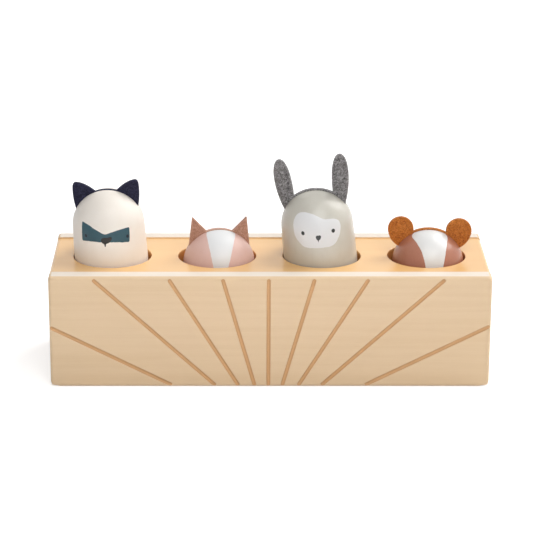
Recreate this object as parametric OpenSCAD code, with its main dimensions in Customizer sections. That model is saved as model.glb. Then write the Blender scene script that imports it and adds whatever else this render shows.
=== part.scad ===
// Wooden pop-up animal toy. Four turned pegs with felt ears stand in round holes in the top of a
// closed box. Inside, two see-saw rockers join the pegs in pairs, so that pressing one animal
// down lifts its neighbour. X runs along the box, -Y is the front and Z is up. The origin is the
// centre of the bottom face. The toy is drawn as it stands: cat and rabbit up, fox and bear down.

/* [Box] */
// Length of the box
box_w = 240; // [232:1:280]
// Depth of the box, front to back
box_d = 78; // [76:1:110]
// Thickness of the front and back panels
panel_t = 9; // [6:0.5:10]
// Thickness of the painted top board
top_t = 9; // [6:0.5:10]
// How far the front and back panels stand proud of the top board
panel_rise = 0.7; // [0:0.1:1.5]
// Thickness of the bottom board
bottom_t = 6; // [4:0.5:8]
// Thickness of the two end boards
end_t = 8; // [7:0.5:10]
// Rounding of the outer edges
arris_r = 2; // [0.5:0.25:3]
// Gap round the removable bottom board
board_gap = 0.3; // [0.1:0.1:0.5]

/* [Rays] */
// Number of grooves that fan out over the front
ray_count = 9; // [3:2:9]
// Angle between neighbouring grooves
ray_step = 15.75; // [12:0.25:16]
// Width of a groove
ray_w = 2.2; // [1:0.1:3]
// Depth of a groove
ray_depth = 0.8; // [0.4:0.1:1.5]
// How far the fan's centre lies below the bottom edge
ray_drop = 25.8; // [15:0.1:35]
// How far the fan's centre lies to the right of the middle
ray_shift = -0.8; // [-5:0.1:5]
// Plain border between a groove's end and the edge of the front
ray_border = 1.6; // [1.2:0.1:6]

/* [Pegs] */
// Gap between a peg and its hole when the peg stands in the middle
hole_gap = 1.3; // [1.2:0.1:2]
// Width of the bevel round a hole's rim
hole_bevel = 0.4; // [0.2:0.1:1]
// Radius of a peg's body
peg_r = 20.3; // [19:0.1:23]
// How much slimmer the rounded head is than the body
head_slim = 0.4; // [0:0.1:1.5]
// Length over which the body narrows to the head
head_taper = 18; // [5:1:25]
// Height of the head's centre above the top board when the peg is up
head_up = 18.3; // [15:0.1:20]
// How far a peg travels
pop_travel = 23; // [16:0.5:26]
// Bevel at a peg's lower edge
foot_bevel = 0.8; // [0.3:0.1:1.5]
// Room between the foot plate of an upper peg and the top board
lift_gap = 3.25; // [1:0.05:6]

/* [Stance] */
// Lean of the cat to the right, in degrees
cat_lean = -3.4; // [-5:0.2:5]
// Lean of the fox to the right
fox_lean = 0.6; // [-3:0.2:3]
// Lean of the rabbit to the right
rabbit_lean = -6; // [-6:0.2:4]
// Lean of the bear to the right
bear_lean = 2; // [-4:0.2:4]
// How far an upper peg sits to the left of its hole's centre
up_slip = 0.8; // [0:0.1:1]
// How far a lower peg sits to the right of its hole's centre
down_slip = 1.05; // [0:0.05:1.05]

/* [Felt ears] */
// Thickness of the felt
felt_t = 2.2; // [1.5:0.1:3]
// Gap between the felt and each side of its saw kerf
kerf_gap = 0.05; // [0.02:0.01:0.15]
// How far the felt stands proud between the cat's and the fox's ears
low_band = 0.4; // [0.2:0.1:1.5]
// How far the felt stands proud between the rabbit's and the bear's ears
high_band = 1; // [0.2:0.1:2]
// Height of the cat's ear tips above the head's surface
cat_ear_rise = 10.5; // [6:0.5:14]
// Height of the fox's ear tips above the head's surface
fox_ear_rise = 11; // [6:0.5:14]
// Height of the rabbit's ear tips above the head's surface
rabbit_ear_rise = 22.6; // [12:0.5:30]
// Radius of the bear's round ears
bear_ear_r = 7.15; // [5:0.1:9]

/* [Foot plates and pins] */
// How far a foot plate reaches past the hole at the front and back
plate_reach = 3.4; // [2:0.1:4]
// How far a foot plate reaches past the hole at its sides
plate_side = 0.4; // [0.2:0.1:2]
// Room between an outer foot plate and the end board
end_gap = 3; // [2:0.25:8]
// Thickness of a foot plate
plate_t = 4; // [3:0.5:4.5]
// Rounding of a foot plate's corners
plate_r = 3; // [1:0.5:8]
// Radius of a foot pin
pin_r = 5; // [3.5:0.25:6]
// Length of the pin's straight part below the plate
pin_neck = 4; // [3.5:0.25:6]
// Depth of the pin's hole in the peg
pin_depth = 12; // [6:1:18]
// Glue gap round a pin
glue_gap = 0.05; // [0.02:0.01:0.1]

/* [Rockers] */
// Gap between the low end of a rocker and the bottom board
floor_gap = 1.3; // [1.2:0.1:4]
// Thickness of a rocker's plank
rocker_t = 6; // [4:0.5:6]
// Width of a rocker, front to back
rocker_w = 23; // [12:1:26]
// How far a rocker reaches past its foot pins
rocker_reach = 4; // [2:0.25:5]
// Radius of the boss under a rocker's middle
boss_r = 5.5; // [4.5:0.25:8]
// Radius of a steel axle
axle_r = 1.5; // [1:0.1:2]
// Running gap between an axle and its rocker
axle_gap = 0.08; // [0.02:0.01:0.1]
// Gap between a foot pin and its rocker
seat_gap = 0.15; // [0.05:0.05:0.3]
// Thickness of a bearing block
bearing_t = 6; // [4:0.5:8]
// Width of a bearing block at its base
bearing_w = 20; // [12:1:24]
// Radius of a bearing block's rounded top
bearing_r = 4; // [3:0.25:5]
// Gap between a rocker and its bearing blocks
bearing_gap = 0.5; // [0.2:0.1:1]

/* [Screws] */
// Radius of a screw's shank
screw_r = 1.5; // [1:0.1:1.8]
// Radius of a screw's head
screw_head_r = 3; // [2.2:0.1:3.5]
// Length of the screws that hold the bottom board
base_screw_l = 20; // [12:1:25]
// Length of the screws that hold the bearing blocks
bearing_screw_l = 14; // [10:1:16]
// Gap round a screw where it passes through the bottom board
screw_gap = 0.2; // [0.1:0.1:0.5]

/* [Hidden] */
$fn = 96;
over = 1; // how far a cutting shape runs past what it cuts

pale_wood = [0.90, 0.80, 0.66];
back_wood = [0.88, 0.77, 0.62];
yellow_paint = [0.98, 0.83, 0.60];
ply_wood = [0.80, 0.67, 0.50];
beech_wood = [0.84, 0.70, 0.53];
steel = [0.72, 0.73, 0.75];

// Animals from left to right: lean, slip, height of the head, the small turn of the felt round
// the peg's axis, and its small tilt to the right in its own plane
ANIMALS = ["cat", "fox", "rabbit", "bear"];
function place(name) = search([name], ANIMALS)[0];
lean = [cat_lean, fox_lean, rabbit_lean, bear_lean];
slip = [-up_slip, down_slip, -up_slip, down_slip];
head_z = [head_up, head_up - pop_travel, head_up, head_up - pop_travel];
felt_turn = [-2.4, 4.6, -6, 0];
felt_tilt = [0, 0, -1.2, 0];
paint = [[0.94, 0.91, 0.85], [0.85, 0.70, 0.67], [0.76, 0.74, 0.69], [0.66, 0.42, 0.34]];
felt_colour = [[0.14, 0.14, 0.24], [0.70, 0.51, 0.43], [0.48, 0.47, 0.48], [0.72, 0.40, 0.13]];

// Holes and foot plates are sized round the pegs
head_r = peg_r - head_slim;
hole_r = peg_r + hole_gap;
plate_w = 2 * (hole_r + plate_side);
plate_l = 2 * (hole_r + plate_reach);

// See-saws. The pivots lie midway between the holes of a pair. A rocker's plank is tangent to
// the ball end of each foot pin, with the seat gap between them.
hole_pitch = (box_w - 2 * (end_t + end_gap) - plate_w) / (len(ANIMALS) - 1);
half_swing = atan(pop_travel / hole_pitch);
rocker_arm = hole_pitch / 2 + rocker_reach;
pivot_rise = rocker_arm * sin(half_swing) + rocker_t / 2 + floor_gap;
pivot_z = bottom_t + pivot_rise;
contact = rocker_t / 2 + pin_r + seat_gap;
low_ball_z = pivot_z - pop_travel / 2 + contact / cos(half_swing);
peg_below = head_up + top_t + lift_gap;
ball_drop = peg_below + plate_t + pin_neck;
rocker_x = [-hole_pitch, hole_pitch];
upper_peg = [place("cat"), place("rabbit")];
bearing_y = rocker_w / 2 + bearing_gap;

function hole_x(i) = (i - (len(ANIMALS) - 1) / 2) * hole_pitch;

// The top board's upper face lies as high as the lower pegs need
box_h = low_ball_z + ball_drop + pop_travel - head_up;
panel_h = box_h + panel_rise;
inner_d = box_d - 2 * panel_t;
inner_h = box_h - top_t - bottom_t;

// Centre of a foot pin's ball end: its distance beside and above its rocker's pivot
function ball_side(i, side) =
    hole_x(i) + slip[i] + (head_z[i] - ball_drop) * sin(lean[i]) - rocker_x[side];
function ball_rise(i) = box_h + (head_z[i] - ball_drop) * cos(lean[i]) - pivot_z;

// Angle of a rocker: its raised end touches the ball end of the upper peg's pin
function rocker_angle(side) =
    let (x = abs(ball_side(upper_peg[side], side)), z = ball_rise(upper_peg[side]))
    atan2(z, x) - asin(contact / norm([x, z]));

// Points of a cubic curve from a to d, with b and c pulling it
function curve(a, b, c, d, steps = 8) =
    [for (i = [0 : steps]) let (t = i / steps, u = 1 - t)
        u * u * u * a + 3 * u * u * t * b + 3 * u * t * t * c + t * t * t * d];

// Points of an arc
function arc(centre, r, from, to, steps) =
    [for (i = [0 : steps]) let (a = from + (to - from) * i / steps)
        centre + r * [cos(a), sin(a)]];

// A point of an ear: its angle above the horizontal and its height above the head's surface
function ear(angle, rise) = (head_r + rise) * [cos(angle), sin(angle)];

// Everything of one animal is drawn upright round its head's centre and placed by this module
module at_head(i) {
    translate([hole_x(i) + slip[i], 0, box_h])
    rotate([0, lean[i], 0])
    translate([0, 0, head_z[i]])
    rotate([0, 0, felt_turn[i]])
    children();
}

module rounded_rect(w, h, r) {
    union() {
        square([w - 2 * r, h], center = true);
        square([w, h - 2 * r], center = true);
        for (x = [-1, 1], y = [-1, 1])
            translate([x * (w / 2 - r), y * (h / 2 - r)])
            circle(r);
    }
}

// The whole box as one block with all its outer edges rounded, from which each board is cut
module rounded_block(height) {
    intersection() {
        linear_extrude(height)
            rounded_rect(box_w, box_d, arris_r);
        translate([0, box_d / 2, height / 2])
            rotate([90, 0, 0])
            linear_extrude(box_d)
            rounded_rect(box_w, height, arris_r);
        translate([-box_w / 2, 0, height / 2])
            rotate([90, 0, 90])
            linear_extrude(box_w)
            rounded_rect(box_d, height, arris_r);
    }
}

// A slab of a block of some height, given as its lowest and highest corners
module board(low, high, height) {
    intersection() {
        rounded_block(height);
        translate(low)
            cube(high - low);
    }
}

// A round-bottomed groove in the front between two points given as x and z
groove_r = (ray_w * ray_w / 4 + ray_depth * ray_depth) / (2 * ray_depth);
module groove(from, to) {
    run = to - from;
    translate([from.x, -box_d / 2 + ray_depth - groove_r, from.y])
    rotate([0, atan2(run.x, run.y), 0])
    union() {
        cylinder(h = norm(run), r = groove_r);
        sphere(groove_r);
        translate([0, 0, norm(run)])
            sphere(groove_r);
    }
}

// A groove of the fan runs from the lower border to the upper border, or to the border at the side
module ray(angle) {
    low_z = ray_border;
    slope = tan(angle);
    reach = box_w / 2 - ray_border - sign(angle) * ray_shift;
    side_z = angle == 0 ? box_h : reach / abs(slope) - ray_drop;
    high_z = min(box_h - ray_border, side_z);
    groove([ray_shift + (low_z + ray_drop) * slope, low_z],
           [ray_shift + (high_z + ray_drop) * slope, high_z]);
}

module front_panel() {
    color(pale_wood)
    difference() {
        board([-box_w / 2, -box_d / 2, 0], [box_w / 2, -inner_d / 2, panel_h], panel_h);
        for (i = [0 : ray_count - 1])
            ray((i - (ray_count - 1) / 2) * ray_step);
    }
}

module back_panel() {
    color(back_wood)
    board([-box_w / 2, inner_d / 2, 0], [box_w / 2, box_d / 2, panel_h], panel_h);
}

module top_board() {
    color(yellow_paint)
    difference() {
        board([-box_w / 2, -inner_d / 2, box_h - top_t], [box_w / 2, inner_d / 2, box_h], box_h);
        for (name = ANIMALS)
            translate([hole_x(place(name)), 0, 0]) {
                translate([0, 0, box_h - top_t - over])
                    cylinder(h = top_t + 2 * over, r = hole_r);
                translate([0, 0, box_h - hole_bevel])
                    cylinder(h = 2 * hole_bevel, r1 = hole_r, r2 = hole_r + 2 * hole_bevel);
            }
    }
}

// Screws: a countersunk head with a cross recess, a shank and a point
screw_head_h = screw_head_r - screw_r;
recess_w = 0.9;
recess_l = 1.2 * screw_head_r;
recess_depth = 1;
module screw(length) {
    difference() {
        union() {
            cylinder(h = screw_head_h, r1 = screw_head_r, r2 = screw_r);
            cylinder(h = length - 2 * screw_r, r = screw_r);
            translate([0, 0, length - 2 * screw_r])
                cylinder(h = 2 * screw_r, r1 = screw_r, r2 = screw_r / 4);
        }
        for (turn = [0, 90])
            rotate([0, 0, turn])
            translate([0, 0, recess_depth / 2 - over / 2])
            cube([recess_l, recess_w, recess_depth + over], center = true);
    }
}

// The clearance hole and countersink that a screw needs in the bottom board
module screw_way() {
    translate([0, 0, -over])
        cylinder(h = bottom_t + 2 * over, r = screw_r + screw_gap);
    translate([0, 0, -over])
        cylinder(h = screw_head_h + over, r1 = screw_head_r + screw_gap + over,
                 r2 = screw_r + screw_gap);
}

module at_base_screws() {
    for (x = [-1, 1], y = [-1, 1])
        translate([x * (box_w / 2 - end_t / 2), y * inner_d / 4, 0])
        children();
}

module at_bearing_screws() {
    for (x = rocker_x, y = [-1, 1])
        translate([x, y * (bearing_y + bearing_t / 2), 0])
        children();
}

module bottom_board() {
    color(ply_wood)
    difference() {
        board([-box_w / 2, -inner_d / 2 + board_gap, 0],
              [box_w / 2, inner_d / 2 - board_gap, bottom_t], box_h);
        at_base_screws()
            screw_way();
        at_bearing_screws()
            screw_way();
    }
}

// An end board stands between the panels and the top and bottom boards
module end_board(side) {
    low_x = side < 0 ? -box_w / 2 : box_w / 2 - end_t;
    difference() {
        translate([low_x, -inner_d / 2, bottom_t])
            cube([end_t, inner_d, inner_h]);
        at_base_screws()
            cylinder(h = base_screw_l, r = screw_r);
    }
}

module left_end_board() {
    color(pale_wood)
    end_board(-1);
}

module right_end_board() {
    color(pale_wood)
    end_board(1);
}

module base_screws() {
    color(steel)
    at_base_screws()
        screw(base_screw_l);
}

// Pegs: a turned body that narrows to a round head, with a saw kerf for the felt across the
// head and a blind hole for the foot pin. The kerf's floor lies level with the ears' outer roots.
root_angle = [29.8, 31.7, 31.4, 30];
kerf_z = [for (a = root_angle) head_r * sin(a)];
module peg(i) {
    color(paint[i])
    at_head(i)
    difference() {
        union() {
            translate([0, 0, -peg_below])
                cylinder(h = foot_bevel, r1 = peg_r - foot_bevel, r2 = peg_r);
            translate([0, 0, foot_bevel - peg_below])
                cylinder(h = peg_below - foot_bevel - head_taper, r = peg_r);
            translate([0, 0, -head_taper])
                cylinder(h = head_taper, r1 = peg_r, r2 = head_r);
            sphere(head_r);
        }
        rotate([0, felt_tilt[i], 0])
            translate([-head_r - over, -felt_t / 2 - kerf_gap, kerf_z[i] - kerf_gap])
            cube([2 * (head_r + over), felt_t + 2 * kerf_gap, head_r]);
        translate([0, 0, -peg_below - over])
            cylinder(h = pin_depth + over, r = pin_r + glue_gap);
    }
}

// Outline of each animal's right ear, from its outer root over the tip to its inner root. The
// shares of the rise give the ear its shape.
cat_ear = concat(
    curve(ear(root_angle[place("cat")], 0), ear(36.7, 0.26 * cat_ear_rise),
          ear(44.6, 0.61 * cat_ear_rise), ear(51.6, 0.9 * cat_ear_rise)),
    curve(ear(51.6, 0.9 * cat_ear_rise), ear(54, cat_ear_rise),
          ear(56, cat_ear_rise), ear(57.6, 0.92 * cat_ear_rise), 5),
    curve(ear(57.6, 0.92 * cat_ear_rise), ear(62.5, 0.75 * cat_ear_rise),
          ear(68.1, 0.4 * cat_ear_rise), ear(73.2, low_band)));

fox_ear = [ear(root_angle[place("fox")], 0), ear(60.6, fox_ear_rise), ear(61.4, fox_ear_rise),
    ear(70, low_band)];

rabbit_ear = concat(
    curve(ear(root_angle[place("rabbit")], 0), ear(39.4, 0.2 * rabbit_ear_rise),
          ear(47.3, 0.47 * rabbit_ear_rise), ear(55.3, 0.725 * rabbit_ear_rise), 10),
    curve(ear(55.3, 0.725 * rabbit_ear_rise), ear(59.7, 0.925 * rabbit_ear_rise),
          ear(63.8, 1.04 * rabbit_ear_rise), ear(66.7, rabbit_ear_rise), 10),
    curve(ear(66.7, rabbit_ear_rise), ear(70.5, 0.96 * rabbit_ear_rise),
          ear(70.4, 0.715 * rabbit_ear_rise), ear(68.6, 0.5 * rabbit_ear_rise), 10),
    curve(ear(68.6, 0.5 * rabbit_ear_rise), ear(66.6, 0.33 * rabbit_ear_rise),
          ear(64, 0.19 * rabbit_ear_rise), ear(59, high_band), 6));

bear_ear_centre = ear(50.7, 0.765 * bear_ear_r);
bear_ear_start = bear_ear_centre + bear_ear_r * [cos(20), -sin(20)];
bear_ear = concat(
    curve(ear(root_angle[place("bear")], 0), ear(29.9, 0.35 * bear_ear_r),
          ear(31.6, 0.78 * bear_ear_r), bear_ear_start),
    arc(bear_ear_centre, bear_ear_r, -14, 188, 24),
    [ear(66, high_band)]);

// The felt is one sheet: the right ear, the band between the ears, the left ear, and a straight
// edge that lies on the kerf's floor
band_steps = 12;
function mirrored(points) =
    [for (k = [len(points) - 1 : -1 : 0]) [-points[k].x, points[k].y]];
function band(inner_root) =
    let (inner_angle = atan2(inner_root.y, inner_root.x))
    [for (k = [1 : band_steps - 1])
        let (a = inner_angle + (180 - 2 * inner_angle) * k / band_steps)
        norm(inner_root) * [cos(a), sin(a)]];
module felt_sheet(i, right_ear) {
    color(felt_colour[i])
    at_head(i)
    rotate([0, felt_tilt[i], 0])
    translate([0, felt_t / 2, 0])
    rotate([90, 0, 0])
    linear_extrude(felt_t)
    polygon(concat(right_ear, band(right_ear[len(right_ear) - 1]), mirrored(right_ear)));
}

// A plywood plate under each peg, wider than the hole, keeps the peg in and facing forward
module foot_plate(i) {
    color(ply_wood)
    at_head(i)
    translate([0, 0, -peg_below - plate_t])
    difference() {
        linear_extrude(plate_t)
            rounded_rect(plate_w, plate_l, plate_r);
        translate([0, 0, -over])
            cylinder(h = plate_t + 2 * over, r = pin_r + glue_gap);
    }
}

// A dowel with a ball end goes up through the plate into the peg and rests on the rocker
module foot_pin(i) {
    pin_bevel = 0.6;
    pin_top = pin_neck + plate_t + pin_depth - glue_gap;
    color(beech_wood)
    at_head(i)
    translate([0, 0, -ball_drop])
    union() {
        sphere(pin_r);
        cylinder(h = pin_top - pin_bevel, r = pin_r);
        translate([0, 0, pin_top - pin_bevel])
            cylinder(h = pin_bevel, r1 = pin_r, r2 = pin_r - pin_bevel);
    }
}

// A rocker is sawn from one board: a plank with round ends and a boss under its middle, which
// the axle passes through
module rocker(side) {
    color(beech_wood)
    translate([rocker_x[side], 0, pivot_z])
    rotate([0, rocker_angle(side), 0])
    difference() {
        union() {
            cube([2 * rocker_arm - rocker_t, rocker_w, rocker_t], center = true);
            for (end = [-1, 1])
                translate([end * (rocker_arm - rocker_t / 2), rocker_w / 2, 0])
                rotate([90, 0, 0])
                cylinder(h = rocker_w, r = rocker_t / 2);
            intersection() {
                translate([0, rocker_w / 2, 0])
                    rotate([90, 0, 0])
                    cylinder(h = rocker_w, r = boss_r);
                translate([-boss_r, -rocker_w / 2, -boss_r])
                    cube([2 * boss_r, rocker_w, boss_r]);
            }
        }
        translate([0, rocker_w / 2 + over, 0])
            rotate([90, 0, 0])
            cylinder(h = rocker_w + 2 * over, r = axle_r + axle_gap);
    }
}

axle_l = 2 * (bearing_y + bearing_t);
module axle(side) {
    color(steel)
    translate([rocker_x[side], axle_l / 2, pivot_z])
    rotate([90, 0, 0])
    cylinder(h = axle_l, r = axle_r);
}

// A bearing block stands on the bottom board beside its rocker and holds one end of the axle
module bearing(side, end) {
    low_y = end < 0 ? -bearing_y - bearing_t : bearing_y;
    color(beech_wood)
    difference() {
        translate([rocker_x[side], low_y + bearing_t, bottom_t])
            rotate([90, 0, 0])
            linear_extrude(bearing_t)
            union() {
                polygon([[-bearing_w / 2, 0], [bearing_w / 2, 0],
                         [bearing_w / 2, bearing_r], [bearing_r, pivot_rise],
                         [-bearing_r, pivot_rise], [-bearing_w / 2, bearing_r]]);
                translate([0, pivot_rise])
                    circle(bearing_r);
            }
        translate([rocker_x[side], low_y + bearing_t + over, pivot_z])
            rotate([90, 0, 0])
            cylinder(h = bearing_t + 2 * over, r = axle_r);
        at_bearing_screws()
            cylinder(h = bearing_screw_l, r = screw_r);
    }
}

module bearing_screws() {
    color(steel)
    at_bearing_screws()
        screw(bearing_screw_l);
}

front_panel();
back_panel();
top_board();
bottom_board();
left_end_board();
right_end_board();
base_screws();
peg(place("cat"));  // cat_peg
peg(place("fox"));  // fox_peg
peg(place("rabbit"));  // rabbit_peg
peg(place("bear"));  // bear_peg
felt_sheet(place("cat"), cat_ear);  // cat_felt_ears
felt_sheet(place("fox"), fox_ear);  // fox_felt_ears
felt_sheet(place("rabbit"), rabbit_ear);  // rabbit_felt_ears
felt_sheet(place("bear"), bear_ear);  // bear_felt_ears
foot_plate(place("cat"));  // cat_foot_plate
foot_plate(place("fox"));  // fox_foot_plate
foot_plate(place("rabbit"));  // rabbit_foot_plate
foot_plate(place("bear"));  // bear_foot_plate
foot_pin(place("cat"));  // cat_foot_pin
foot_pin(place("fox"));  // fox_foot_pin
foot_pin(place("rabbit"));  // rabbit_foot_pin
foot_pin(place("bear"));  // bear_foot_pin
rocker(0);  // left_rocker
rocker(1);  // right_rocker
axle(0);  // left_axle
axle(1);  // right_axle
bearing(0, -1);  // left_front_bearing
bearing(0, 1);  // left_back_bearing
bearing(1, -1);  // right_front_bearing
bearing(1, 1);  // right_back_bearing
bearing_screws();
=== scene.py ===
"""A wooden pop-up toy for a toddler: a closed box of pale maple with a stained yellow top, from
which four turned and painted pegs with felt ears rise and sink. Lengths in this file are in
millimetres, except those of the stage, and each mesh is scaled to metres when it is made."""
import math
import bmesh
import bpy
import numpy as np
from mathutils import Matrix, Vector


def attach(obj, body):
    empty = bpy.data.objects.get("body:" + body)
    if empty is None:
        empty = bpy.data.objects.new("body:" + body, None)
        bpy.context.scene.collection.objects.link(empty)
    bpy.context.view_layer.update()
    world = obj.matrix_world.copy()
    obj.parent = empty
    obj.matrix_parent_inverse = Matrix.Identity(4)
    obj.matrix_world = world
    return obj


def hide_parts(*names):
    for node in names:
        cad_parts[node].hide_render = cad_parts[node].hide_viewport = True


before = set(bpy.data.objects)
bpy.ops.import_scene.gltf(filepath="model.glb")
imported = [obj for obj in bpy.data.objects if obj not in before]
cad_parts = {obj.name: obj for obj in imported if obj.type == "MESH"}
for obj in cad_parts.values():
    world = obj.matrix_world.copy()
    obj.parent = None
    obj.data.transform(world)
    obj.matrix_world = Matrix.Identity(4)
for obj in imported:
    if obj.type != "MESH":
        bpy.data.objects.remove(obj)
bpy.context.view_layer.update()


# Stage: a sweep of white paper under soft studio light. A large lamp stands high at the right and
# behind, so that shadows fall to the left over the top. A second one fills in from high in front,
# and a small one lights the paper before the toy, which throws its light up against the front.
def add(tree, kind, inputs=None, **settings):
    """Adds a node with its settings. Each input is a value or a socket to link from."""
    made = tree.nodes.new(kind)
    for name, value in settings.items():
        setattr(made, name, value)
    for name, value in (inputs or {}).items():
        if isinstance(value, bpy.types.NodeSocket):
            tree.links.new(value, made.inputs[name])
        else:
            made.inputs[name].default_value = value
    return made


def lamp(name, place, target, size, power, colour):
    """A round lamp of a size in metres and a power in watts, turned to face its target."""
    data = bpy.data.lights.new(name, "AREA")
    data.shape, data.size, data.energy, data.color = "DISK", size, power, colour
    made = bpy.data.objects.new(name, data)
    bpy.context.collection.objects.link(made)
    made.location = place
    made.rotation_euler = (Vector(target) - Vector(place)).to_track_quat("-Z", "Y").to_euler()
    return data


lamp("key_light", (1.75, 1.0, 2.25), (0.0, 0.0, 0.06), 2.5, 70.0, (1.0, 0.985, 0.96))
lamp("front_light", (0.3, -2.25, 2.5), (0.0, 0.0, 0.05), 2.4, 51.0, (1.0, 0.985, 0.965))
table_light = lamp("table_light", (0.0, -0.45, 0.9), (0.0, -0.45, 0.0), 0.3, 1.1,
                   (1.0, 0.99, 0.98))
table_light.spread = 0.75


def when_seen(tree, unseen, seen):
    """Mixes two shaders: one for what the camera or a glossy surface sees, the other for the
    light that falls on everything else."""
    path = add(tree, "ShaderNodeLightPath")
    share = add(tree, "ShaderNodeMath", {0: path.outputs["Is Camera Ray"],
                1: path.outputs["Is Glossy Ray"]}, operation="MAXIMUM")
    return add(tree, "ShaderNodeMixShader", {0: share.outputs[0], 1: unseen.outputs[0],
               2: seen.outputs[0]}).outputs[0]


world = bpy.data.worlds.new("studio")
bpy.context.scene.world = world
world.use_nodes = True
tree = world.node_tree
tree.nodes.clear()
room = add(tree, "ShaderNodeBackground", {"Color": (0.94, 0.96, 1.0, 1.0), "Strength": 0.23})
white = add(tree, "ShaderNodeBackground", {"Color": (1.0, 1.0, 1.0, 1.0), "Strength": 1.0})
add(tree, "ShaderNodeOutputWorld", {"Surface": when_seen(tree, room, white)})

floor_mat = bpy.data.materials.new("white_sweep")
floor_mat.use_nodes = True
tree = floor_mat.node_tree
tree.nodes.clear()
paper = add(tree, "ShaderNodeBsdfDiffuse", {"Color": (0.82, 0.82, 0.82, 1.0)})
glow = add(tree, "ShaderNodeEmission", {"Color": (1.0, 1.0, 1.0, 1.0), "Strength": 0.58})
lit = add(tree, "ShaderNodeAddShader", {0: paper.outputs[0], 1: glow.outputs[0]})
add(tree, "ShaderNodeOutputMaterial", {"Surface": when_seen(tree, paper, lit)})
FLOOR_HALF, FLOOR_GAP = 6, 0.0002
mesh = bpy.data.meshes.new("floor")
mesh.from_pydata([(FLOOR_HALF * x, FLOOR_HALF * y, 0) for x, y in
                  ((-1, -1), (1, -1), (1, 1), (-1, 1))], [], [(0, 1, 2, 3)])
mesh.materials.append(floor_mat)
floor = bpy.data.objects.new("floor", mesh)
bpy.context.collection.objects.link(floor)
floor.location.z = -FLOOR_GAP

# The camera looks down at the front's upper edge from a little over a metre away.
camera = bpy.data.objects.new("camera", bpy.data.cameras.new("camera"))
bpy.context.collection.objects.link(camera)
CAMERA_TILT, CAMERA_AIM = math.radians(19), Vector((-0.0155, -0.039, 0.063))
CAMERA_DISTANCE, CAMERA_LIFT = 1.223, 0.00446
ahead = Vector((0, math.cos(CAMERA_TILT), -math.sin(CAMERA_TILT)))
upward = Vector((0, math.sin(CAMERA_TILT), math.cos(CAMERA_TILT)))
camera.location = CAMERA_AIM - CAMERA_DISTANCE * ahead + CAMERA_LIFT * upward
camera.rotation_euler = (math.pi / 2 - CAMERA_TILT, 0, 0)
camera.data.sensor_width = 36
camera.data.lens = 151.3
camera.data.shift_x = 0.0528
bpy.context.scene.camera = camera
bpy.context.scene.view_settings.view_transform = "Standard"


# Front and back panels: solid maple boards as long as the box, planed, rounded on their outer
# edges and glued to the ends, a little proud of the yellow board between them. Nine
# round-bottomed grooves are routed into the front, in a fan.
BOX_W, BOX_D, BOX_H = 240.0, 78.0, 62.982  # the height is that of the yellow board
ARRIS, PANEL, PANEL_H = 2.0, 9.0, 63.682  # radius of the outer edges, thickness and height
HAIRLINE = 0.2  # the fine bevel at a glue joint
FAN_X, FAN_Z = -0.8, -25.8  # where the grooves would meet, below the box
RAY_COUNT, RAY_STEP = 9, 15.75
RAY_ANGLES = np.radians(RAY_STEP * (np.arange(RAY_COUNT) - (RAY_COUNT - 1) / 2))
RAY_DEPTH, RAY_HALF, RAY_BORDER = 0.8, 1.1, 1.6
RAY_R = (RAY_HALF ** 2 + RAY_DEPTH ** 2) / (2 * RAY_DEPTH)
MERGE = 2e-6  # metres within which points of a mesh become one


def surface(name, patches, fields=None, placing=None, sharp=35.0):
    """One closed mesh from patches, each an array of rows x columns x 3 in millimetres. Points
    that coincide are merged, so that patches join along shared borders and close at poles. Each
    field is a number for every point, computed from the points before they are placed. Edges
    sharper than an angle in degrees stay crisp."""
    faces, start = [], 0
    for patch in patches:
        rows, columns = patch.shape[:2]
        index = start + np.arange(rows * columns).reshape(rows, columns)
        corners = [index[:-1, :-1], index[1:, :-1], index[1:, 1:], index[:-1, 1:]]
        faces.append(np.stack(corners, axis=-1).reshape(-1, 4))
        start += rows * columns
    points = np.concatenate([patch.reshape(-1, 3) for patch in patches]) / 1000
    made = bpy.data.meshes.new(name)
    made.from_pydata(points.tolist(), [], np.concatenate(faces).tolist())
    shape = bmesh.new()
    shape.from_mesh(made)
    bmesh.ops.remove_doubles(shape, verts=shape.verts, dist=MERGE)
    bmesh.ops.recalc_face_normals(shape, faces=shape.faces)
    shape.to_mesh(made)
    shape.free()
    flat = np.empty(3 * len(made.vertices), dtype=np.float32)
    made.vertices.foreach_get("co", flat)
    local = 1000 * flat.reshape(-1, 3).astype(float)
    for field, values in (fields or {}).items():
        layer = made.attributes.new(field, "FLOAT", "POINT")
        layer.data.foreach_set("value", values(local).astype(np.float32))
    if placing is not None:
        made.transform(placing)
    made.shade_smooth()
    made.set_sharp_from_angle(angle=math.radians(sharp))
    piece = bpy.data.objects.new(name, made)
    bpy.context.collection.objects.link(piece)
    return piece


def fall(past, radius):
    """How far a rounded edge has fallen away at a distance past the start of its rounding."""
    past = np.clip(past, 0, radius)
    return radius - np.sqrt(radius ** 2 - past ** 2)


def groove_depth(x, z):
    """Depth of the grooves at points of the front. Each is a cylinder laid along its ray with a
    ball at either end, of which only a shallow part reaches into the wood."""
    deepest = np.zeros_like(x)
    for angle in RAY_ANGLES:
        across = (x - FAN_X) * np.cos(angle) - (z - FAN_Z) * np.sin(angle)
        along = (x - FAN_X) * np.sin(angle) + (z - FAN_Z) * np.cos(angle)
        reach = BOX_W / 2 - RAY_BORDER - np.sign(angle) * FAN_X
        high = BOX_H - RAY_BORDER - FAN_Z
        if angle != 0:
            high = min(high, reach / abs(np.tan(angle)))
        low_end, high_end = (RAY_BORDER - FAN_Z) / np.cos(angle), high / np.cos(angle)
        beyond = np.maximum(np.maximum(low_end - along, along - high_end), 0)
        square = RAY_R ** 2 - across ** 2 - beyond ** 2
        deepest = np.maximum(deepest, RAY_DEPTH - RAY_R + np.sqrt(np.maximum(square, 0)))
    return deepest


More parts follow.
